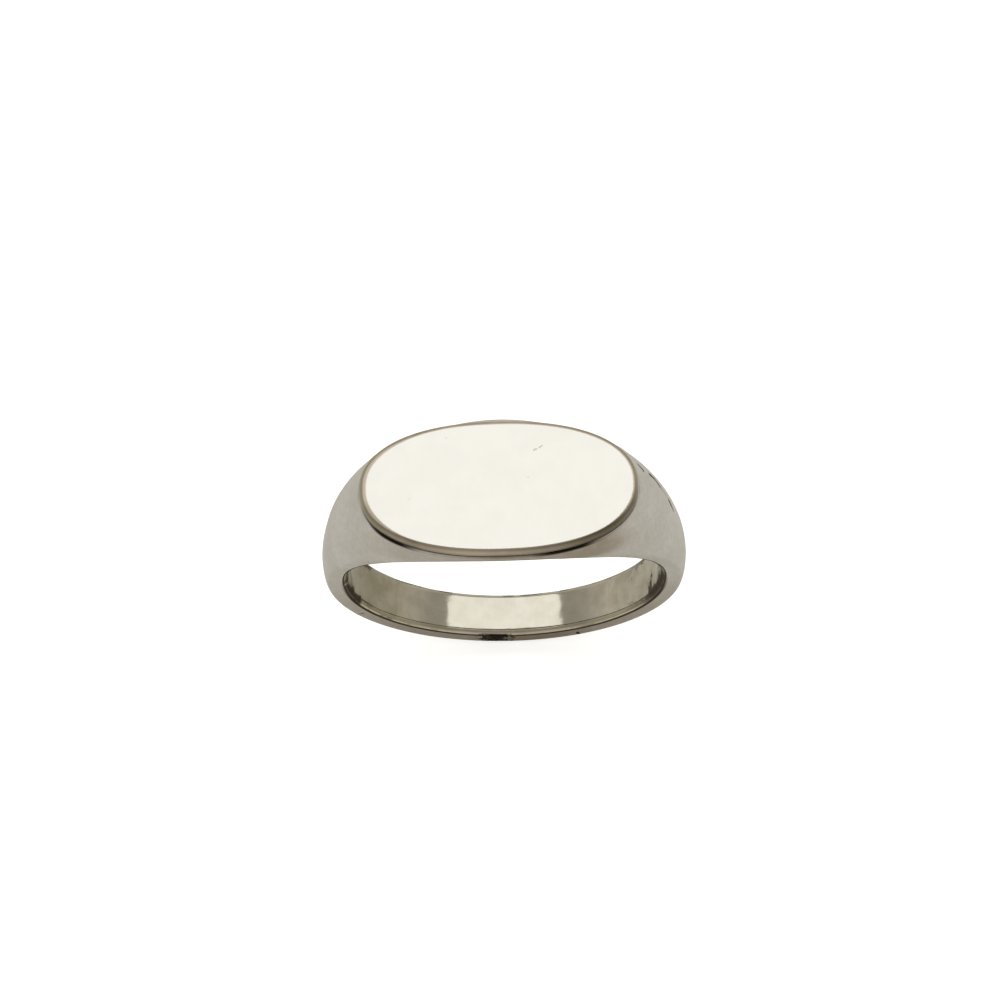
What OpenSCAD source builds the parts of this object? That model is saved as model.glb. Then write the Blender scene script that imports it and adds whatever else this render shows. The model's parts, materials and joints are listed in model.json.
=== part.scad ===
// Oval signet ring, made up from a bent shank and a soldered face plate.
// Origin at the centre of the finger bore, +Y along the finger, +Z up to the face.

/* [Finger bore] */
// Inside diameter of the ring
bore_d = 18.2; // [15:0.1:22]
// Width and height of the eased edge where the bore meets the sides
edge_ease = 0.33; // [0.2:0.01:0.4]

/* [Face plate] */
// Length of the plate, across the finger
plate_l = 15.7; // [12:0.1:18]
// Width of the plate, along the finger
plate_w = 8.12; // [6:0.01:11]
// Thickness of the plate
plate_t = 0.6; // [0.4:0.01:1.2]
// Radius of the plate's softened top edge
plate_round = 0.3; // [0.1:0.01:0.36]
// Fullness of the oval, where 2 is a true ellipse
oval_power = 2.26; // [2:0.01:3]
// How far the plate and its seat lie forward of the band's middle
plate_forward = 0.13; // [0:0.01:0.2]

/* [Solder] */
// Height of the solder seam between seat and plate
seam_h = 0.09; // [0.04:0.01:0.15]
// How far the solder is drawn in under the plate's edge
seam_inset = 0.12; // [0.05:0.01:0.3]
// Width of the closing seam at the palm
palm_seam_w = 0.18; // [0.1:0.01:0.3]

/* [Shank] */
// Metal left between the bore and the seat, at the middle of the head
seat_t = 0.52; // [0.42:0.01:1.5]
// Ledge of the seat around the plate
seat_ledge = 0.02; // [0:0.01:0.2]
// How far the head's sides swell out beyond the seat, at the middle
head_swell = 0.255; // [0.21:0.005:0.5]
// Band width half way down the sides
side_w = 3.15; // [2.4:0.05:5]
// Band width at the palm
palm_w = 2.6; // [2:0.05:5]
// Band thickness half way down the sides
side_t = 1.5; // [1.2:0.05:2.2]
// Band thickness at the palm
palm_t = 1.7; // [1.3:0.05:2.4]
// Height of the flat sides above the eased edge, at the palm
flank_h = 0.82; // [0.3:0.01:0.85]
// Height of the flat sides above the eased edge, at the middle of the head
head_flank_h = 0.04; // [0.02:0.01:0.06]
// Angle from the face at which the widening head has become plain band
widen_angle = 96; // [80:1:120]
// Angle from the face at which the raised shoulder has become plain band
shoulder_angle = 78; // [70:1:110]
// How quickly the shoulder falls away from the plate's end
shoulder_power = 1.5; // [1.3:0.05:3]
// Roundness of the band's crown, where 2 is elliptical
crown_power = 1.7; // [1.5:0.05:2.5]

/* [Hidden] */

head_steps = 16;        // stations from the middle of the face to its end
band_steps = 34;        // stations from the end of the face to the palm
crown_steps = 9;        // points from the flank to the crown
oval_steps = 120;       // points around the plate
round_steps = 5;        // points over the plate's softened edge
bore_skin = 0.15;       // blank left inside the bore line, which the bore takes off
ease_break = 0.3;       // share of the eased edge at which its slope changes
ease_slope = (1 - ease_break) / ease_break;
seat_sweep = 85;        // degrees of each quarter of the oval that seat stations cover

bore_r = bore_d / 2;
seat_z = bore_r + seat_t;
plate_z = seat_z + seam_h;
seat_a = plate_l / 2 + seat_ledge;
seat_b = plate_w / 2 + seat_ledge;
seat_end = atan2(seat_a, seat_z);
end_r = norm([seat_a, seat_z]);

// A point on an oval with half axes a and b, t degrees from the +X end
function on_oval(a, b, t) = [
    a * sign(cos(t)) * pow(abs(cos(t)), 2 / oval_power),
    b * sign(sin(t)) * pow(abs(sin(t)), 2 / oval_power)
];

// 1 at the face, falling smoothly to 0 where the band is plain
function widening(angle) = angle < widen_angle ? (1 + cos(180 * angle / widen_angle)) / 2 : 0;

function band_half(angle) = palm_w / 2 + (side_w - palm_w) / 2 * (1 + cos(angle));

function half_width(angle) =
    band_half(angle) + (seat_b + head_swell - band_half(0)) * widening(angle);

function band_thick(angle) = side_t + (palm_t - side_t) * max(0, -cos(angle));

function flank_top(angle) =
    bore_r + edge_ease + flank_h + (head_flank_h - flank_h) * widening(angle);

// Radius of the crown line, from the end of the seat round to the palm
function crown_r(angle) =
    let (
        along = min(1, (angle - seat_end) / (shoulder_angle - seat_end)),
        rise = end_r - bore_r - band_thick(seat_end)
    )
    bore_r + band_thick(angle) + rise * pow(1 - along, shoulder_power);

// One side of a section as [radius, half width], from inside the bore to the top.
// The crown is a dome over the flanks. Over the seat the dome is cut off at the height
// where it is just as wide as the oval, so the sides meet the seat in one clean line.
function side_points(angle, top_r, top_half) =
    let (
        half = half_width(angle),
        low_r = flank_top(angle),
        cut = asin(pow(1 - pow(top_half / half, crown_power), 1 / crown_power)),
        last = top_half > 0 ? crown_steps - 1 : crown_steps,
        inset = edge_ease + bore_skin * ease_slope
    )
    [
        [bore_r - bore_skin, half - inset],
        [bore_r + ease_break * edge_ease, half - ease_break * edge_ease],
        [bore_r + edge_ease, half],
        for (i = [0 : crown_steps - 1])
            let (lift = sin(cut * i / last))
            [
                low_r + (top_r - low_r) * lift / sin(cut),
                half * pow(max(0, 1 - pow(lift, crown_power)), 1 / crown_power)
            ]
    ];

// A whole section in the plane at this angle from the face, on side +1 or -1.
// The seat reaches further forward than back, as its oval does.
function section(side, angle, top_r, top_half) =
    let (
        forward = top_half > 0 ? plate_forward : 0,
        front = side_points(angle, top_r, top_half + forward),
        back = side_points(angle, top_r, top_half - forward),
        count = len(front),
        place = function (p, hand) [side * p[0] * sin(angle), hand * p[1], p[0] * cos(angle)]
    )
    [
        for (i = [0 : count - 1]) place(front[i], -1),
        place([top_r, 0], 1),
        for (i = [count - 1 : -1 : 0]) place(back[i], 1)
    ];

// Sections over the seat follow the oval, so that its outline comes out true
function seat_section(side, step) =
    let (
        spot = on_oval(seat_a, seat_b, 90 - seat_sweep * step / head_steps),
        angle = atan2(spot[0], seat_z)
    )
    section(side, angle, seat_z / cos(angle), spot[1]);

function band_section(side, step) =
    let (angle = seat_end + (180 - seat_end) * step / band_steps)
    section(side, angle, crown_r(angle), 0);

// The ring before the bore is cut: sections all the way round, skinned together
module blank() {
    sections = [
        for (i = [0 : head_steps]) seat_section(1, i),
        for (i = [0 : band_steps]) band_section(1, i),
        for (i = [band_steps - 1 : -1 : 0]) band_section(-1, i),
        for (i = [head_steps : -1 : 1]) seat_section(-1, i)
    ];
    around = len(sections);
    across = len(sections[0]);
    corners = [for (ring = sections) each ring];
    skin = [
        for (i = [0 : around - 1])
            for (j = [0 : across - 1])
                let (
                    a = i * across + j,
                    b = i * across + (j + 1) % across,
                    c = (i + 1) % around * across + (j + 1) % across,
                    d = (i + 1) % around * across + j
                )
                each [[a, c, b], [a, d, c]]
    ];
    polyhedron(points = corners, faces = skin, convexity = 6);
}

// The bored ring, still closed all the way round
module bored_blank() {
    difference() {
        blank();
        rotate([90, 0, 0])
            cylinder(h = 3 * plate_w, r = bore_r, center = true, $fn = 180);
    }
}

// The slot at the palm where the two ends of the band meet
module palm_slot() {
    depth = 2 * palm_t;
    translate([-palm_seam_w / 2, -palm_w, -bore_r - depth])
        cube([palm_seam_w, 2 * palm_w, 2 * depth]);
}

module shank() {
    color("#b3aea3")
        difference() {
            bored_blank();
            palm_slot();
        }
}

module palm_seam() {
    color("#8d867a")
        intersection() {
            bored_blank();
            palm_slot();
        }
}

module oval(a, b) {
    polygon([for (i = [0 : oval_steps - 1]) on_oval(a, b, 360 * i / oval_steps)]);
}

module seat_solder() {
    color("#5b5240")
        translate([0, -plate_forward, seat_z])
            linear_extrude(seam_h)
                oval(plate_l / 2 - seam_inset, plate_w / 2 - seam_inset);
}

// The plate is a stack of ovals: upright sides, then a rounded shoulder up to the face
module signet_plate() {
    levels = [
        [0, 0],
        for (i = [0 : round_steps])
            [
                plate_round * (1 - cos(90 * i / round_steps)),
                plate_t - plate_round * (1 - sin(90 * i / round_steps))
            ]
    ];
    corners = [
        for (level = levels)
            for (i = [0 : oval_steps - 1])
                let (
                    spot = on_oval(plate_l / 2 - level[0], plate_w / 2 - level[0], 360 * i / oval_steps)
                )
                [spot[0], spot[1] - plate_forward, plate_z + level[1]]
    ];
    sides = [
        for (k = [0 : len(levels) - 2])
            for (i = [0 : oval_steps - 1])
                let (
                    a = k * oval_steps + i,
                    b = k * oval_steps + (i + 1) % oval_steps,
                    c = b + oval_steps,
                    d = a + oval_steps
                )
                each [[a, c, b], [a, d, c]]
    ];
    last = (len(levels) - 1) * oval_steps;
    color("#f0eee6")
        polyhedron(
            points = corners,
            faces = concat(
                sides,
                [[for (i = [0 : oval_steps - 1]) i]],
                [[for (i = [oval_steps - 1 : -1 : 0]) last + i]]
            ),
            convexity = 2
        );
}

shank();
palm_seam();
seat_solder();
signet_plate();
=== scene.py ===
# Oval signet ring in silver: a bent shank closed at the palm, with a plate soldered on its head.
# Lengths below are in millimetres and turned into metres when a mesh is made.
import json
import math

import bpy
from mathutils import Matrix, Vector, noise


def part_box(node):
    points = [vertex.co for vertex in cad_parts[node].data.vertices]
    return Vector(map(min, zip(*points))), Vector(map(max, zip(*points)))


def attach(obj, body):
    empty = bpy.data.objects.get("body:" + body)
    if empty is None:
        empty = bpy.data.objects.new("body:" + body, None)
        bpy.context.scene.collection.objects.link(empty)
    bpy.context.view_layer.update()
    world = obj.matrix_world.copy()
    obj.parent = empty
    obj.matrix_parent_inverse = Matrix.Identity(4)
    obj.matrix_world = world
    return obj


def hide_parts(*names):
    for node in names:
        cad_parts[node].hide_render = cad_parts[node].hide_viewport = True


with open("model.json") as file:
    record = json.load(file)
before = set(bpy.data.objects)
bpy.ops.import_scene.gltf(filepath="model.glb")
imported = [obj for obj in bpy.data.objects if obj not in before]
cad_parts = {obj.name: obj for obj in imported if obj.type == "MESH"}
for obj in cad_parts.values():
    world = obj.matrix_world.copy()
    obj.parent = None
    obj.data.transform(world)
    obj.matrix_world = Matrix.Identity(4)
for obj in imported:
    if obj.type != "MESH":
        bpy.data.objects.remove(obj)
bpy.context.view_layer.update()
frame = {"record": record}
mm = 0.001
boreR = next(m for m in frame["record"]["mounts"] if m["kind"] == "bore")["dims"]["r_mm"]
shankLow, shankHigh = (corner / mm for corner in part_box("shank"))
solderLow, solderHigh = (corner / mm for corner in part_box("seat_solder"))
plateLow, plateHigh = (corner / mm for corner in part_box("signet_plate"))
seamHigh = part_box("palm_seam")[1] / mm
ovalPower = 2.26  # fullness of the face, where 2 is a true ellipse
sharpAngle = math.radians(38)  # an edge that turns more than this is crisp
print("frame loaded, bore radius", boreR)


shot = {  # angles in degrees
    "azimuth": 3.52,
    "elevation": 66.98,
    "roll": -4.63,
    "distance": 250.0,
    "frameWidth": 58.34,  # what the picture takes in at the ring's distance
    "aimRight": -0.24,
    "aimUp": 3.20,
}


def addCamera():
    azimuth = math.radians(shot["azimuth"])
    elevation = math.radians(shot["elevation"])
    back = Vector((
        math.sin(azimuth) * math.cos(elevation),
        -math.cos(azimuth) * math.cos(elevation),
        math.sin(elevation),
    ))
    level = Vector((0, 0, 1)).cross(back).normalized()
    turn = Matrix.Rotation(math.radians(shot["roll"]), 3, back)
    right = turn @ level
    up = turn @ back.cross(level)
    eye = back * shot["distance"]
    aim = right * shot["aimRight"] + up * shot["aimUp"]
    axisZ = (eye - aim).normalized()
    axisX = up.cross(axisZ).normalized()
    axisY = axisZ.cross(axisX)
    data = bpy.data.cameras.new("camera")
    data.sensor_width = 36
    data.lens = data.sensor_width * shot["distance"] / shot["frameWidth"]
    data.clip_start = 0.02
    data.clip_end = 20
    camera = bpy.data.objects.new("camera", data)
    turned = Matrix((axisX, axisY, axisZ)).transposed().to_4x4()
    camera.matrix_world = Matrix.Translation(eye * mm) @ turned
    bpy.context.scene.collection.objects.link(camera)
    bpy.context.scene.camera = camera


class Wire:
    # One socket of a shader. Sums written with it add Math nodes.
    def __init__(self, tree, socket):
        self.tree = tree
        self.socket = socket

    def add(self, kind, settings=None, inputs=None, output=0):
        node = self.tree.nodes.new(kind)
        for name, value in (settings or {}).items():
            setattr(node, name, value)
        plug(self.tree, node, inputs or {})
        return Wire(self.tree, node.outputs[output])

    def math(self, operation, *values):
        return self.add("ShaderNodeMath", {"operation": operation}, dict(enumerate(values)))

    def vector(self, operation, *values):
        return self.add("ShaderNodeVectorMath", {"operation": operation}, dict(enumerate(values)))

    def scaled(self, factor):
        return self.add("ShaderNodeVectorMath", {"operation": "SCALE"}, {0: self, "Scale": factor})

    def distance(self, other):
        return self.add("ShaderNodeVectorMath", {"operation": "DISTANCE"}, {0: self, 1: other}, "Value")

    def __add__(self, other):
        return self.math("ADD", self, other)

    def __sub__(self, other):
        return self.math("SUBTRACT", self, other)

    def __rsub__(self, other):
        return self.math("SUBTRACT", other, self)

    def __mul__(self, other):
        return self.math("MULTIPLY", self, other)

    def __truediv__(self, other):
        return self.math("DIVIDE", self, other)

    def __pow__(self, other):
        return self.math("POWER", self, other)

    def __abs__(self):
        return self.math("ABSOLUTE", self)

    __radd__ = __add__
    __rmul__ = __mul__

    def fade(self, low, high):  # 0 up to low, 1 from high on, smooth between them
        limits = {"Value": self, "From Min": low, "From Max": high}
        return self.add("ShaderNodeMapRange", {"interpolation_type": "SMOOTHSTEP"}, limits)

    def colour(self, first, second):  # goes from the first colour to the second as this goes 0 to 1
        return self.add("ShaderNodeMix", {"data_type": "RGBA"}, {0: self, 6: first, 7: second}, 2)

    def noise(self, scale, detail=2.0, roughness=0.5):  # this wire is the place it is read at
        settings = {"Vector": self, "Scale": scale, "Detail": detail, "Roughness": roughness}
        return self.add("ShaderNodeTexNoise", inputs=settings)

    def split(self):
        node = self.tree.nodes.new("ShaderNodeSeparateXYZ")
        plug(self.tree, node, {0: self})
        return [Wire(self.tree, socket) for socket in node.outputs]

    def join(self, x, y, z):
        return self.add("ShaderNodeCombineXYZ", inputs={0: x, 1: y, 2: z})

    def bump(self, height, strength=1.0):  # this wire goes 0 to 1 over that height in millimetres
        values = {"Height": self, "Distance": height * mm, "Strength": strength}
        return self.add("ShaderNodeBump", inputs=values)


def plug(tree, node, inputs):
    for key, value in inputs.items():
        socket = node.inputs[key]
        if isinstance(value, Wire):
            tree.links.new(value.socket, socket)
        elif socket.type == "RGBA" and len(value) == 3:
            socket.default_value = (*value, 1)
        else:
            socket.default_value = value


def hypotenuse(a, b):
    return (a * a + b * b) ** 0.5


def seenDirectly(tree):  # 1 where the camera sees the thing itself, 0 in what it lights or mirrors
    return Wire(tree, tree.nodes.new("ShaderNodeLightPath").outputs["Is Camera Ray"])


lineEdge = {
    "grain": 9.0,
    "raggedness": 1.6,  # how far the edge wanders, in half widths
    "core": 0.4,  # the part of the half width that is full strength
}


def alongLine(place, mark):  # 1 on a straight mark between two points, 0 away from it
    start = Vector(mark["from"])
    along = Vector(mark["to"]) - start
    reached = place.vector("SUBTRACT", place, start)
    share = place.add("ShaderNodeVectorMath", {"operation": "DOT_PRODUCT"},
                      {0: reached, 1: along / along.length_squared}, "Value")
    share = share.math("MINIMUM", share.math("MAXIMUM", share, 0.0), 1.0)
    nearest = place.add("ShaderNodeVectorMath", {"operation": "SCALE"}, {0: along, "Scale": share})
    wander = (place.noise(lineEdge["grain"], 3.0, 0.65) - 0.5) * mark["half"] * lineEdge["raggedness"]
    ragged = reached.distance(nearest) + wander
    return (1 - ragged.fade(mark["half"] * lineEdge["core"], mark["half"])) * mark["strength"]


def allLines(place, marks):
    total = alongLine(place, marks[0])
    for mark in marks[1:]:
        total = total.math("MAXIMUM", total, alongLine(place, mark))
    return total


def newMetal(name):
    material = bpy.data.materials.new(name)
    material.use_nodes = True
    tree = material.node_tree
    shader = tree.nodes["Principled BSDF"]
    plug(tree, shader, {"Metallic": 1.0, "Specular IOR Level": 0.0})
    coords = tree.nodes.new("ShaderNodeTexCoord")
    inMillimetres = Wire(tree, coords.outputs["Object"]).scaled(1 / mm)
    return material, shader, inMillimetres


def addPiece(name, verts, faces, materials, faceMaterials=None, sharp=()):
    mesh = bpy.data.meshes.new(name)
    mesh.from_pydata([Vector(v) * mm for v in verts], [], faces)
    for material in materials:
        mesh.materials.append(material)
    if faceMaterials:
        mesh.polygons.foreach_set("material_index", faceMaterials)
    mesh.validate()
    mesh.set_sharp_from_angle(angle=sharpAngle)
    sharpPairs = {tuple(sorted(pair)) for pair in sharp}
    for edge in mesh.edges:
        if tuple(sorted(edge.vertices)) in sharpPairs:
            edge.use_edge_sharp = True
    mesh.update()
    piece = bpy.data.objects.new(name, mesh)
    bpy.context.scene.collection.objects.link(piece)
    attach(piece, "root")
    print("made", name, len(mesh.vertices), "points", len(mesh.polygons), "faces")
    return piece


def stackFaces(levels, count):  # the faces between closed loops of points, each loop joined to the next
    faces = []
    for k in range(levels - 1):
        for i in range(count):
            a, b = k * count + i, k * count + (i + 1) % count
            faces.append((a, b, b + count, a + count))
    return faces


def capFaces(first, across, turned):  # closes one end of a swept section, straight from side to side
    faces = []
    for j in range(across // 2):
        mirrorHere, mirrorThere = first + (across - j) % across, first + across - j - 1
        corners = []
        for corner in (first + j, first + j + 1, mirrorThere, mirrorHere):
            if corner not in corners:
                corners.append(corner)
        faces.append(tuple(reversed(corners)) if turned else tuple(corners))
    return faces


def onOval(a, b, degrees):  # a point on the face's outline, from its +X end
    t = math.radians(degrees)
    x = math.copysign(abs(math.cos(t)) ** (2 / ovalPower), math.cos(t))
    y = math.copysign(abs(math.sin(t)) ** (2 / ovalPower), math.sin(t))
    return a * x, b * y


def ripple(point, perMm, depth):  # smooth waviness, up to depth either way
    return noise.noise(Vector(point) * perMm) * depth


shank = {
    "ease": 0.33,  # eased edge where the bore meets the sides
    "ledge": 0.02,  # seat left round the plate
    "sideHalf": 1.575,  # half the band's width, half way down
    "palmHalf": 1.3,
    "sideThick": 1.5,
    "flank": 0.82,  # flat sides above the eased edge, at the palm
    "headFlank": 0.04,
    "widenAngle": 96.0,
    "shoulderAngle": 78.0,
    "shoulderPower": 1.5,
    "crownPower": 1.7,
    "seatSweep": 88.5,
    "headSteps": 44,
    "bandSteps": 150,
    "palmCrowding": 1.35,  # above 1, stations crowd towards the palm
    "boreRows": 9,
    "easeRows": 8,
    "flankRows": 5,
    "crownRows": 22,
    "boreRipple": 0.013,  # hand-finished waviness of the bore
    "fineShare": 0.6,
    "finestShare": 0.2,
    "skinRipple": 0.004,
    "blendReach": 10.0,  # degrees each side of the plate's end that are filed smooth
    "blendPasses": 60,
}
seatZ = solderLow.z
seatShift = (plateLow.y + plateHigh.y) / 2  # the plate and its seat lie a little forward
plateHalf = (plateHigh.y - plateLow.y) / 2
seatA = plateHigh.x + shank["ledge"]
seatB = plateHalf + shank["ledge"]
seatEnd = math.degrees(math.atan2(seatA, seatZ))
endR = math.hypot(seatA, seatZ)
headHalf = shankHigh.y
palmThick = -shankLow.z - boreR
slotHalf = seamHigh.x

# Small knocks: where the middle is, how far it reaches, how far it stands out
knocks = [
    {"at": (7.9, 1.6, 7.4), "reach": 0.45, "lift": 0.05},
    {"at": (9.2, 0.9, 5.6), "reach": 0.40, "lift": 0.04},
    {"at": (-8.9, -1.35, -5.0), "reach": 0.16, "lift": 0.05},
    {"at": (4.0, -1.35, -9.3), "reach": 0.14, "lift": 0.06},
    {"at": (-0.5, -1.3, -9.7), "reach": 0.22, "lift": 0.06},
    {"at": (-1.15, -1.3, -9.65), "reach": 0.20, "lift": 0.05},
]


def widening(angle):
    if angle >= shank["widenAngle"]:
        return 0.0
    return (1 + math.cos(math.pi * angle / shank["widenAngle"])) / 2


def bandHalf(angle):
    spread = shank["sideHalf"] - shank["palmHalf"]
    return shank["palmHalf"] + spread * (1 + math.cos(math.radians(angle)))


def halfWidth(angle):
    return bandHalf(angle) + (headHalf - bandHalf(0)) * widening(angle)


def bandThick(angle):
    return shank["sideThick"] + (palmThick - shank["sideThick"]) * max(0, -math.cos(math.radians(angle)))


def flankTop(angle):
    low = shank["flank"] + (shank["headFlank"] - shank["flank"]) * widening(angle)
    return boreR + shank["ease"] + low


def crownR(angle):  # the crown line from the end of the seat to the palm
    along = min(1, (angle - seatEnd) / (shank["shoulderAngle"] - seatEnd))
    rise = endR - boreR - bandThick(seatEnd)
    return boreR + bandThick(angle) + rise * (1 - along) ** shank["shoulderPower"]


def stations():
    # (side, angle, radius of the top, half width of the seat there), from the palm round to the palm
    quarter = []
    for step in range(shank["headSteps"] + 1):
        turn = 90 - shank["seatSweep"] * step / shank["headSteps"]
        x, y = onOval(seatA, seatB, turn)
        angle = math.degrees(math.atan2(x, seatZ))
        quarter.append((angle, seatZ / math.cos(math.radians(angle)), y))
    for step in range(shank["bandSteps"] + 1):
        share = 1 - (1 - step / shank["bandSteps"]) ** shank["palmCrowding"]
        angle = seatEnd + (180 - seatEnd) * share
        quarter.append((angle, crownR(angle), 0.0))
    oneSide = [(1, *spot) for spot in reversed(quarter)]
    otherSide = [(-1, *spot) for spot in quarter[1:]]
    return oneSide + otherSide


def sectionRows(angle, topR, topHalf):
    # (radius, half width, row kind) up one side, from the middle of the bore to the top edge
    half = halfWidth(angle)
    ease = shank["ease"]
    lowR = flankTop(angle)
    rows = []
    for i in range(shank["boreRows"] + 1):
        rows.append((boreR, (half - ease) * i / shank["boreRows"], "bore"))
    for i in range(1, shank["easeRows"] + 1):
        turn = math.pi / 2 * i / shank["easeRows"]
        rows.append((
            boreR + ease - ease * math.cos(turn),
            half - ease + ease * math.sin(turn),
            "ease",
        ))
    for i in range(1, shank["flankRows"] + 1):
        rows.append((boreR + ease + (lowR - boreR - ease) * i / shank["flankRows"], half, "flank"))
    power = shank["crownPower"]
    cut = math.asin((1 - (topHalf / half) ** power) ** (1 / power))
    count = shank["crownRows"]
    last = count - 1 if topHalf > 0 else count
    for i in range(1, count):
        lift = math.sin(cut * i / last)
        width = half * max(0, 1 - lift ** power) ** (1 / power)
        rows.append((lowR + (topR - lowR) * lift / math.sin(cut), width, "crown"))
    return rows


def placed(side, angle, radius, width):
    turn = math.radians(angle)
    return Vector((side * radius * math.sin(turn), width, radius * math.cos(turn)))


def sectionLoop(side, angle, topR, topHalf):
    shift = seatShift if topHalf > 0 else 0
    back = sectionRows(angle, topR, topHalf + shift)
    front = sectionRows(angle, topR, topHalf - shift)
    up = [placed(side, angle, r, y) for r, y, kind in back]
    down = [placed(side, angle, r, -y) for r, y, kind in reversed(front[1:])]
    return up + [placed(side, angle, topR, 0)] + down


def flattenEnd(loop, side):  # the two ends of the band are cut square, where the slot is
    for point in loop:
        radius = math.hypot(point.x, point.z)
        point.x = side * slotHalf
        point.z = -math.sqrt(radius ** 2 - slotHalf ** 2)


def fileSmooth(loops, spots, rowKinds):
    # takes the crease off the crown where the seat ends, leaving the seat's own outline alone
    across = len(loops[0])
    for _ in range(shank["blendPasses"]):
        for k in range(1, len(loops) - 1):
            away = abs(spots[k][1] - seatEnd) / shank["blendReach"]
            if away >= 1:
                continue
            pull = 0.5 * (1 - away) ** 2
            for j in range(across):
                if rowKinds[j] != "crown":
                    continue
                before, here, after = loops[k - 1][j], loops[k][j], loops[k + 1][j]
                gapBefore = (here - before).length
                gapAfter = (after - here).length
                level = (before * gapAfter + after * gapBefore) / max(gapBefore + gapAfter, 1e-6)
                loops[k][j] = here.lerp(level, pull)


def buildShank(skinMaterial, boreMaterial):
    spots = stations()
    loops = [sectionLoop(*spot) for spot in spots]
    flattenEnd(loops[0], 1)
    flattenEnd(loops[-1], -1)
    kinds = [row[2] for row in sectionRows(*spots[0][1:])]
    topRow = len(kinds)  # the vertex on the centre line of the top
    rowKinds = kinds + ["top"] + list(reversed(kinds[1:]))
    for j in (topRow - 1, topRow + 1):
        rowKinds[j] = "edge"
    fileSmooth(loops, spots, rowKinds)
    across = len(rowKinds)
    verts = [point for loop in loops for point in loop]
    # Two open faults: these faces point into the metal, not out of it,
    # and the last stations fold back a little way past the two ends
    faces = stackFaces(len(loops), across)
    inBore = [kind in ("bore", "ease") for kind in rowKinds]
    loopMaterials = [int(inBore[j] and inBore[(j + 1) % across]) for j in range(across)]
    faces += capFaces(0, across, True) + capFaces(len(verts) - across, across, False)
    faceMaterials = loopMaterials * (len(loops) - 1) + [0] * across
    seatEdges = []
    for k in range(len(loops) - 1):
        if spots[k][3] > 0 and spots[k + 1][3] > 0:
            for j in (topRow - 1, topRow + 1):
                seatEdges.append((k * across + j, (k + 1) * across + j))
    wearIn(verts, faces, rowKinds)
    skin = addPiece("shank_body", verts, faces, [skinMaterial, boreMaterial], faceMaterials, seatEdges)
    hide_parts("shank")


def boreWave(point):
    coarse = ripple(point, 0.42, shank["boreRipple"])
    middling = ripple(point, 1.25, shank["boreRipple"] * shank["fineShare"])
    return coarse + middling + ripple(point, 2.6, shank["boreRipple"] * shank["finestShare"])


def wearIn(verts, faces, rowKinds):
    # moves the points a little along their normals, which point into the metal but for the folds at
    # the ends: the waviness of hand work, and the knocks
    draft = bpy.data.meshes.new("draft")
    draft.from_pydata(verts, [], faces)
    normals = [vertex.normal.copy() for vertex in draft.vertices]
    bpy.data.meshes.remove(draft)
    across = len(rowKinds)
    for index, point in enumerate(verts):
        kind = rowKinds[index % across]
        push = 0.0
        if kind in ("bore", "ease"):
            push = boreWave(point)
        elif kind in ("flank", "crown"):
            push = ripple(point, 0.5, shank["skinRipple"])
        for knock in knocks:
            away = (point - Vector(knock["at"])).length / knock["reach"]
            if away < 2:
                push -= knock["lift"] * math.exp(-away * away * 2)
        verts[index] = point + normals[index] * push


palmSeam = {
    "slices": 6,
    "sink": 0.012,  # how far the solder lies below the band
    "pitDepth": 0.02,
    "pitsPerMm": 5.0,
}


def buildPalmSeam(material):
    section = sectionLoop(1, 180, crownR(180), 0)
    across = len(section)
    verts = []
    for k in range(palmSeam["slices"] + 1):
        x = slotHalf - 2 * slotHalf * k / palmSeam["slices"]
        for point in section:
            radius = -point.z
            if radius < boreR + shank["ease"] / 2:  # the bore was polished after the joint was closed
                radius -= boreWave(Vector((x, point.y, point.z)))
            else:
                pit = max(0, noise.noise(Vector((x, point.y, point.z)) * palmSeam["pitsPerMm"]))
                radius -= palmSeam["sink"] + pit * palmSeam["pitDepth"]
            verts.append(Vector((x, point.y, -math.sqrt(radius ** 2 - x ** 2))))
    faces = stackFaces(palmSeam["slices"] + 1, across)
    faces += capFaces(0, across, True) + capFaces(len(verts) - across, across, False)
    seam = addPiece("palm_seam_solder", verts, faces, [material])
    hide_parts("palm_seam")


plate = {
    "round": 0.3,  # radius of the softened top edge
    "points": 240,
    "wallRows": 6,
    "roundRows": 9,
    "faceRings": 14,
    "faceRipple": 0.0012,
    "rimRipple": 0.006,
}
seatJoint = {
    "rows": 4,
    "bulge": 0.05,  # how far the fillet stands out between seat and plate
    "runOut": 0.045,  # how unevenly the solder ran
}


def ovalRing(a, b, z, count):
    ring = []
    for i in range(count):
        x, y = onOval(a, b, 360 * i / count)
        ring.append(Vector((x, y, z)))
    return ring


def closeStack(verts, faces, levels, count, bottomZ, topZ):  # a fan at the top and one underneath
    topMiddle, bottomMiddle = len(verts), len(verts) + 1
    verts += [Vector((0, 0, topZ)), Vector((0, 0, bottomZ))]
    first = (levels - 1) * count
    for i in range(count):
        nextI = (i + 1) % count
        faces.append((first + i, first + nextI, topMiddle))
        faces.append((nextI, i, bottomMiddle))
    for point in verts:
        point.y += seatShift


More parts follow.
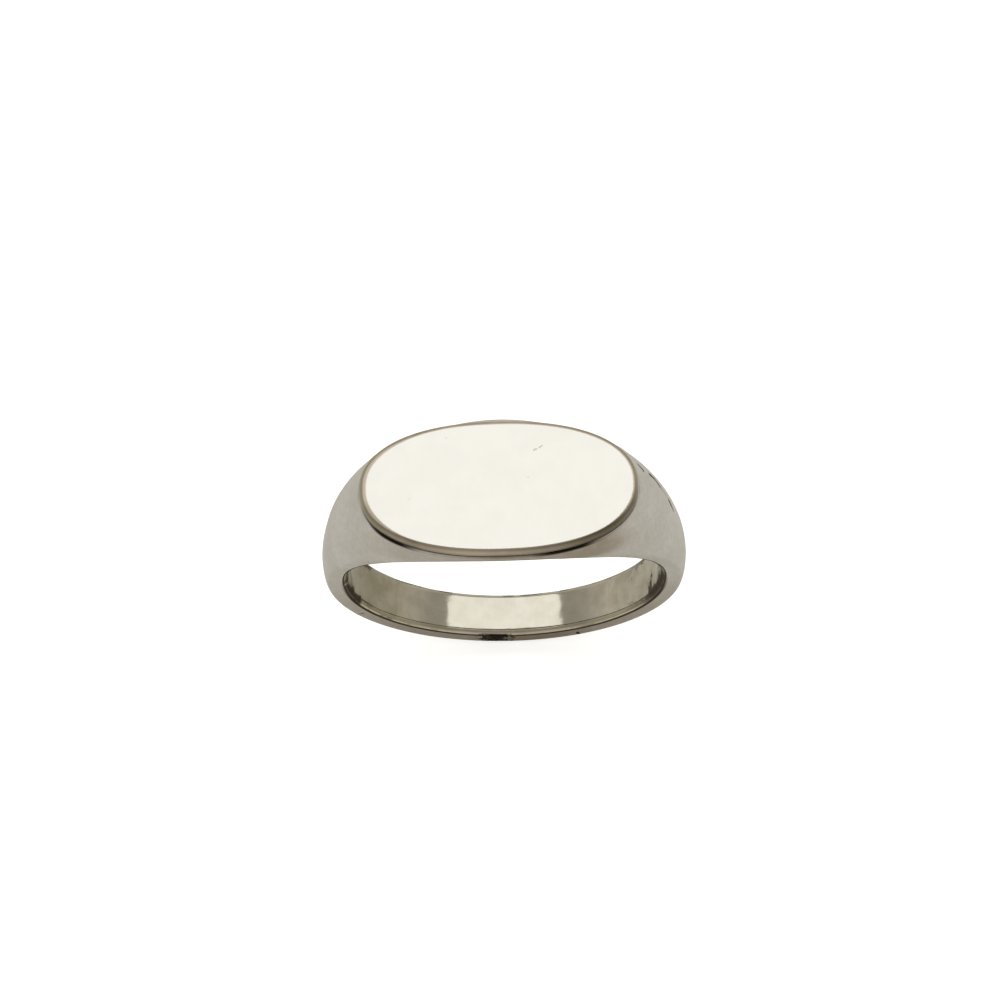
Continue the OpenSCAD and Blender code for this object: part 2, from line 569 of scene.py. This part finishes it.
def buildPlate(material):
    count = plate["points"]
    a, b = plateHigh.x, plateHalf
    thick = plateHigh.z - plateLow.z
    wall = thick - plate["round"]
    levels = []  # (drawn in by, height)
    for i in range(plate["wallRows"] + 1):
        levels.append((0, wall * i / plate["wallRows"]))
    for i in range(1, plate["roundRows"] + 1):
        turn = math.pi / 2 * i / plate["roundRows"]
        levels.append((plate["round"] * (1 - math.cos(turn)), wall + plate["round"] * math.sin(turn)))
    flatA, flatB = a - plate["round"], b - plate["round"]
    verts = []
    for drawn, height in levels:
        for point in ovalRing(a - drawn, b - drawn, plateLow.z + height, count):
            outward = Vector((point.x / a, point.y / b, 0)).normalized()
            wave = ripple(point, 0.8, plate["rimRipple"]) - plate["rimRipple"] / 2
            share = 1 - drawn / plate["round"]
            verts.append(point + outward * wave * share)
    for i in range(1, plate["faceRings"]):
        share = 1 - i / plate["faceRings"]
        for point in ovalRing(flatA * share, flatB * share, plateHigh.z, count):
            point.z += ripple(point, 0.45, plate["faceRipple"]) - plate["faceRipple"]
            verts.append(point)
    levelCount = len(levels) + plate["faceRings"] - 1
    faces = stackFaces(levelCount, count)
    closeStack(verts, faces, levelCount, count, plateLow.z, plateHigh.z - plate["faceRipple"])
    piece = addPiece("signet_face", verts, faces, [material])
    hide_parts("signet_plate")


def buildSeatSolder(material):
    count = plate["points"]
    a, b = solderHigh.x, (solderHigh.y - solderLow.y) / 2
    height = solderHigh.z - solderLow.z
    verts = []
    for k in range(seatJoint["rows"] + 1):
        share = k / seatJoint["rows"]
        bulge = seatJoint["bulge"] * math.sin(math.pi * share)
        for point in ovalRing(a, b, solderLow.z + height * share, count):
            outward = Vector((point.x / a, point.y / b, 0)).normalized()
            run = ripple(point, 1.1, seatJoint["runOut"]) * math.sin(math.pi * share)
            verts.append(point + outward * (bulge + run))
    faces = stackFaces(seatJoint["rows"] + 1, count)
    closeStack(verts, faces, seatJoint["rows"] + 1, count, solderLow.z, solderHigh.z)
    piece = addPiece("seat_solder_fillet", verts, faces, [material])
    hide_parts("seat_solder")


satin = {
    "light": (0.835, 0.83, 0.82),
    "dull": (0.755, 0.745, 0.72),
    "stain": (0.42, 0.36, 0.28),  # heat stain by the palm joint
    "brown": (0.46, 0.41, 0.34),  # darker brown silver: random grain, darker low on the flanks, and painted shade under the plate
    # near black: for grime, pits and scratches, and for the painted shade lines
    "grime": (0.02, 0.018, 0.014),
    "roughness": 0.42,
    "lineHeight": 0.0016,
}

# Scratches and knocks on the satin skin
skinMarks = [
    {"from": (7.93, 1.72, 8.62), "to": (8.17, 1.42, 8.38), "half": 0.15, "strength": 0.9},
    {"from": (8.52, 1.50, 7.62), "to": (8.80, 1.46, 7.05), "half": 0.17, "strength": 1.0},
    {"from": (8.80, 1.46, 7.05), "to": (9.11, 1.13, 6.60), "half": 0.14, "strength": 1.0},
    {"from": (9.60, 0.80, 5.48), "to": (9.74, 0.64, 5.10), "half": 0.19, "strength": 1.0},
    {"from": (9.74, 0.64, 5.10), "to": (9.87, 0.50, 4.72), "half": 0.13, "strength": 0.9},
    {"from": (9.11, 1.15, 6.62), "to": (9.52, 0.88, 5.68), "half": 0.07, "strength": 0.5},
    {"from": (8.98, 1.52, 6.80), "to": (9.45, 1.18, 5.72), "half": 0.06, "strength": 0.35},
    {"from": (4.10, -1.33, -9.05), "to": (4.20, -1.33, -9.35), "half": 0.13, "strength": 0.95},
    {"from": (-8.72, -1.36, -5.03), "to": (-8.55, -1.36, -4.97), "half": 0.13, "strength": 0.85},
]


palmSpot = Vector((-0.85, -shank["palmHalf"], -boreR - 0.5))


def palmPits(place):  # the pitted, blackened spot at the front edge beside the palm joint
    return (place.noise(5.0, 4.0, 0.65) - place.distance(palmSpot) * 0.3).fade(0.16, 0.33)


def satinFinish():
    material, shader, place = newMetal("satinSilver")
    x, y, z = place.split()
    around = place.math("ARCTAN2", x, z)
    radius = hypotenuse(x, z)
    fromBore = radius - boreR
    lines = place.join(around * 3.2, y * 9, radius * 9).noise(1.0, 3.0)
    fineLines = place.join(around * 9, y * 30, radius * 30).noise(1.0, 2.0)
    cloud = place.noise(0.35, 3.0)
    handled = place.noise(1.4, 4.0, 0.6)
    body = cloud.fade(0.3, 0.7).colour(satin["dull"], satin["light"])
    grain = place.noise(3.2, 5.0, 0.7).fade(0.34, 0.66)
    body = (grain * 0.2).colour(body, satin["brown"])
    # darker low on the flanks near the bore, most near the middle, with patchy variation
    lowOnFlank = (1 - fromBore.fade(0.9, 1.5)) * (1 - z.fade(-7.5, 2.0))
    rightward = x.fade(-2.5, 1.5) * (1 - x.fade(2.5, 5.5))
    darkening = lowOnFlank * (handled * 0.5 + rightward * 0.4 + 0.42)
    body = darkening.colour(body, satin["brown"])
    # painted shade under the plate: the front of the head is darkened, more towards the right
    shadeUnderPlate = (1 - y.fade(-3.9, -1.9)) * z.fade(7.4, 8.6) * (x.fade(-4, 7) * 0.75 + 0.3)
    body = (shadeUnderPlate * (handled.fade(0.3, 0.7) * 0.4 + 0.9)).colour(body, satin["brown"])
    fromPalm = hypotenuse(x, z - shankLow.z)
    stained = (1 - fromPalm.fade(1.2, 3.6)) * handled.fade(0.35, 0.65) * 0.6
    body = stained.colour(body, satin["stain"])
    # painted shade: a dark line on the flanks just outside the eased inner edge, below the head, broken up
    # in patches
    edgeShadeLine = (1 - fromBore.fade(0.37, 0.47)) * (1 - z.fade(-3.0, 1.0)) * handled.fade(0.15, 0.35) * 0.95
    # painted shade: a thin dark line on the shank just below the plate's seat, strongest at the low corners
    overSeat = abs(x / seatA) ** ovalPower + abs((y - seatShift) / seatB) ** ovalPower
    lowCorners = x.fade(1.0, 3.0) * (1 - x.fade(4.6, 6.0)) + (1 - x.fade(-5.6, -4.2))
    lowCorners = lowCorners * (1 - y.fade(-2.6, -0.8))
    seatShadeLine = (1 - overSeat.fade(1.02, 1.045)) * z.fade(seatZ - 0.32, seatZ - 0.12)
    seatShadeLine = seatShadeLine * (lowCorners * 0.85 + 0.15)
    # the dark marks: pits, scratches, and the painted shade lines along the edge and under the seat
    dark = place.math("MAXIMUM", palmPits(place) * 0.97, edgeShadeLine)
    dark = place.math("MAXIMUM", dark, place.math("MAXIMUM", seatShadeLine, allLines(place, skinMarks)))
    body = dark.colour(body, satin["grime"])
    worn = lines * 0.14 + handled * 0.1 + satin["roughness"] - 0.12
    height = lines * 0.7 + fineLines * 0.3 - dark * 4
    plug(material.node_tree, shader, {
        "Base Color": body,
        "Metallic": 1 - dark,  # the dark marks and the painted shade lines are no metal, so they stay dark at a low angle too
        "Roughness": worn,
        "Normal": height.bump(satin["lineHeight"]),
    })
    return material


bore = {
    "light": (0.69, 0.66, 0.58),
    "dull": (0.625, 0.595, 0.51),
    "tarnish": (0.36, 0.33, 0.24),
    "dirt": (0.022, 0.018, 0.012),
    "bright": (0.96, 0.86, 0.64),  # painted highlight: a golden line along the eased edge of the bore
    "roughness": 0.09,
}


def boreBody(place):  # the polished, finger-worn inside: its colour, with painted shade and a painted highlight, and a mask of its dirt and painted shade
    x, y, z = place.split()
    cloud = place.noise(0.8, 4.0, 0.6)
    patchy = place.noise(0.55, 5.0, 0.62)
    fromBore = hypotenuse(x, z) - boreR
    body = cloud.fade(0.3, 0.7).colour(bore["dull"], bore["light"])
    fromPalm = z / boreR + 1  # 0 at the palm, 1 half way up the sides, 2 at the head
    leftward = 1 - x.fade(-5.5, 1.0)
    # painted shade: darker up the sides of the bore and towards the left, broken up by patchy tarnish
    darkening = fromPalm.fade(0.1, 0.45) * (leftward * 0.65 + patchy.fade(0.35, 0.65) * 0.5)
    body = darkening.colour(body, bore["tarnish"])
    smeared = place.noise(1.3, 4.0, 0.6).fade(0.42, 0.62) * fromPalm.fade(0.05, 0.25)
    eased = fromBore.fade(0.0, 0.04) * abs(x).fade(2.5, 4.5) * (1 - abs(x).fade(7.5, 8.8) * 0.7)
    body = place.math("MAXIMUM", smeared * 0.3, eased * 0.6).colour(body, bore["tarnish"])
    edgeward = (abs(y) - 1.0).fade(-0.5, 0.9)
    reach = fromPalm.fade(0.34, 0.66) * (1 - fromPalm.fade(0.98, 1.25) * 0.92)
    grime = reach * (patchy + edgeward * 0.32 + x.fade(-4, 4) * 0.075).fade(0.625, 0.705)
    # painted highlight: a golden line along the eased edge, fainter in the middle
    glintOnEdge = fromBore.fade(0.14, 0.17) * (1 - fromBore.fade(0.21, 0.24)) * cloud.fade(0.38, 0.5)
    glintOnEdge = glintOnEdge * (abs(x).fade(1.5, 4.0) * 0.7 + 0.3)
    # painted shade: a dark line along the outer part of the eased edge. Added to it: a broken dark line low
    # on the back edge of the bore, and the pitted spot by the palm joint
    line = fromBore.fade(0.23, 0.26) * cloud.fade(0.15, 0.35)
    backEdge = y.fade(0.5, 0.9) * fromBore.fade(0.03, 0.06) * place.noise(1.3, 3.0).fade(0.5, 0.55)
    line = line.math("MAXIMUM", line, backEdge * (1 - z.fade(-7.0, -4.5)) * 0.8)
    line = line.math("MAXIMUM", line * 0.9, palmPits(place) * fromBore.fade(0.1, 0.2))
    body = (glintOnEdge * 0.95).colour(body, bore["bright"])
    dirt = line.math("MAXIMUM", grime * 0.85, line)
    return dirt.colour(body, bore["dirt"]), dirt


def boreFinish():
    material, shader, place = newMetal("polishedBore")
    x, y, z = place.split()
    around = place.math("ARCTAN2", x, z)
    scuffs = place.join(around * 6, y * 5, 0.0).noise(1.0, 4.0, 0.7)
    body, dirt = boreBody(place)
    plug(material.node_tree, shader, {
        "Base Color": body,
        "Metallic": 1 - dirt * 0.9,
        "Roughness": scuffs * 0.12 + dirt * 0.25 + bore["roughness"] - 0.05,
        "Normal": scuffs.bump(0.0012),
    })
    return material


face = {
    "light": (0.785, 0.775, 0.735),
    "warm": (0.765, 0.755, 0.715),
    # painted reflection and shade on the plate's rounded edge: tan, darkening to near black
    "rim": (0.64, 0.57, 0.46),
    "rimDark": (0.14, 0.12, 0.075),
    "nick": (0.42, 0.38, 0.29),
    "roughness": 0.13,
}

# Fine scratches and specks on the face
faceMarks = [
    {"from": (2.04, 1.99, plateHigh.z), "to": (2.15, 2.05, plateHigh.z), "half": 0.085, "strength": 0.6},
    {"from": (2.33, 2.14, plateHigh.z), "to": (2.49, 2.25, plateHigh.z), "half": 0.07, "strength": 0.6},
    {"from": (1.64, 0.33, plateHigh.z), "to": (1.72, 0.35, plateHigh.z), "half": 0.05, "strength": 0.25},
    {"from": (-2.95, 2.86, plateHigh.z), "to": (-2.88, 2.89, plateHigh.z), "half": 0.05, "strength": 0.25},
    {"from": (-5.08, -0.85, plateHigh.z), "to": (-4.97, -0.81, plateHigh.z), "half": 0.05, "strength": 0.2},
]


def faceFinish():
    material, shader, place = newMetal("polishedFace")
    x, y, z = place.split()
    cloud = place.noise(0.5, 5.0, 0.6)
    polished = cloud.fade(0.35, 0.65).colour(face["warm"], face["light"])
    acrossX = abs(x / (plateHigh.x - plate["round"])) ** ovalPower
    acrossY = abs((y - seatShift) / (plateHalf - plate["round"])) ** ovalPower
    outward = acrossX + acrossY  # 1 where the flat face ends
    patchy = place.noise(0.3, 3.0)
    fine = place.noise(9.0, 3.0)
    leftEnd = 1 - x.fade(-7.2, -3.0)
    frontSide = 1 - y.fade(-4.0, -1.5)
    onRim = (outward + (fine - 0.5) * 0.02 + leftEnd * 0.035 - frontSide * 0.07).fade(0.99, 1.025)
    # painted shade on the rim: darker low on its wall, towards the front corners, towards both ends, and in
    # patches
    low = 1 - z.fade(plateLow.z + 0.02, plateLow.z + 0.3)
    lowRight = x.fade(0.0, 6.5) * (1 - y.fade(-3.0, 0.5))
    lowLeft = (1 - x.fade(-6.0, -3.5)) * (1 - y.fade(-2.6, -0.8))
    shade = low * (lowLeft * 0.5 + 0.3) + patchy.fade(0.46, 0.62) * 0.2 + lowRight * 0.6
    shade = shade + abs(x).fade(1.5, 5.0) * 0.3
    rim = shade.colour(face["rim"], face["rimDark"])
    body = onRim.colour(polished, rim)
    plug(material.node_tree, shader, {
        "Base Color": allLines(place, faceMarks).colour(body, face["nick"]),
        "Roughness": onRim * 0.2 + fine * 0.05 + face["roughness"],
        "Normal": (cloud * 0.8 + fine * 0.02).bump(0.001),
    })
    return material


solder = {
    "light": (0.16, 0.135, 0.10),
    "dark": (0.05, 0.04, 0.03),
    "palmLight": (0.50, 0.47, 0.40),
    "palmDark": (0.16, 0.14, 0.11),
}


def seatSolderFinish():
    material, shader, place = newMetal("tarnishedSolder")
    grit = place.noise(5.0, 4.0, 0.6)
    plug(material.node_tree, shader, {
        "Base Color": grit.fade(0.35, 0.7).colour(solder["dark"], solder["light"]),
        "Roughness": grit * 0.3 + 0.4,
        "Normal": grit.bump(0.01),
    })
    return material


def palmSolderFinish():
    material, shader, place = newMetal("palmSolder")
    x, _, z = place.split()
    outside = (hypotenuse(x, z) - boreR).fade(0.15, 0.35)
    grit = place.noise(6.0, 4.0, 0.6)
    inside, _ = boreBody(place)
    outer = grit.fade(0.4, 0.6).colour(solder["palmDark"], solder["palmLight"])
    plug(material.node_tree, shader, {
        "Base Color": outside.colour(inside, outer),
        "Roughness": outside * (grit * 0.3 + 0.16) + bore["roughness"],
        "Normal": (grit * outside).bump(0.01),
    })
    return material


studio = {
    "skyLight": 0.82,
    "side": (0.36, 0.34, 0.30),
    "front": (0.30, 0.27, 0.23),
    "lowGlow": 1.75,  # how much brighter the room is near the horizon
    "softboxHeight": 400.0,
    "softboxLeft": -352.0,
    "softboxRight": 402.0,
    "softboxFront": -90.0,
    "softboxBack": 470.0,
    "floorSize": 6000.0,
    "floorSeen": (0.86, 0.86, 0.85),
    "floorGlow": 0.72,
    "floorReflected": (0.88, 0.87, 0.83),
}


def addStudio():
    world = bpy.data.worlds.new("studio")
    bpy.context.scene.world = world
    world.use_nodes = True
    tree = world.node_tree
    tree.nodes.clear()
    direction = Wire(tree, tree.nodes.new("ShaderNodeTexCoord").outputs["Generated"])
    x, y, z = direction.split()
    toFront = (0 - y).fade(0.1, 0.7)
    dim = toFront.colour(studio["side"], studio["front"])
    lift = (1 - z.fade(0.0, 0.6)) * (studio["lowGlow"] - 1) + 1
    shown = seenDirectly(tree).colour(dim.scaled(lift), (1, 1, 1))
    background = tree.nodes.new("ShaderNodeBackground")
    plug(tree, background, {"Color": shown, "Strength": 1.0})
    output = tree.nodes.new("ShaderNodeOutputWorld")
    tree.links.new(background.outputs[0], output.inputs[0])

    width = (studio["softboxRight"] - studio["softboxLeft"]) * mm
    depth = (studio["softboxBack"] - studio["softboxFront"]) * mm
    lamp = bpy.data.lights.new("softbox", "AREA")
    lamp.shape = "RECTANGLE"
    lamp.size = width
    lamp.size_y = depth
    lamp.energy = math.pi * width * depth * studio["skyLight"]
    softbox = bpy.data.objects.new("softbox", lamp)
    softbox.location = Vector((
        (studio["softboxRight"] + studio["softboxLeft"]) / 2,
        (studio["softboxBack"] + studio["softboxFront"]) / 2,
        studio["softboxHeight"],
    )) * mm
    softbox.visible_camera = False
    bpy.context.scene.collection.objects.link(softbox)


def addFloor():
    half = studio["floorSize"] / 2
    level = shankLow.z
    corners = [(-half, -half, level), (half, -half, level), (half, half, level), (-half, half, level)]
    mesh = bpy.data.meshes.new("floor")
    mesh.from_pydata([Vector(corner) * mm for corner in corners], [], [(0, 1, 2, 3)])
    material = bpy.data.materials.new("paleFloor")
    material.use_nodes = True
    tree = material.node_tree
    shader = tree.nodes["Principled BSDF"]
    seen = seenDirectly(tree)
    plug(tree, shader, {
        "Base Color": seen.colour(studio["floorReflected"], studio["floorSeen"]),
        "Roughness": 0.9,
        "Specular IOR Level": 0.0,
        "Emission Color": seen.colour((0, 0, 0), (1, 1, 1)),
        "Emission Strength": studio["floorGlow"],
    })
    mesh.materials.append(material)
    floor = bpy.data.objects.new("floor", mesh)
    bpy.context.scene.collection.objects.link(floor)


bpy.context.scene.view_settings.view_transform = "Standard"
addCamera()
addStudio()
addFloor()
print("studio ready")
buildShank(satinFinish(), boreFinish())
buildPalmSeam(palmSolderFinish())
buildSeatSolder(seatSolderFinish())
buildPlate(faceFinish())

print("ring finished")
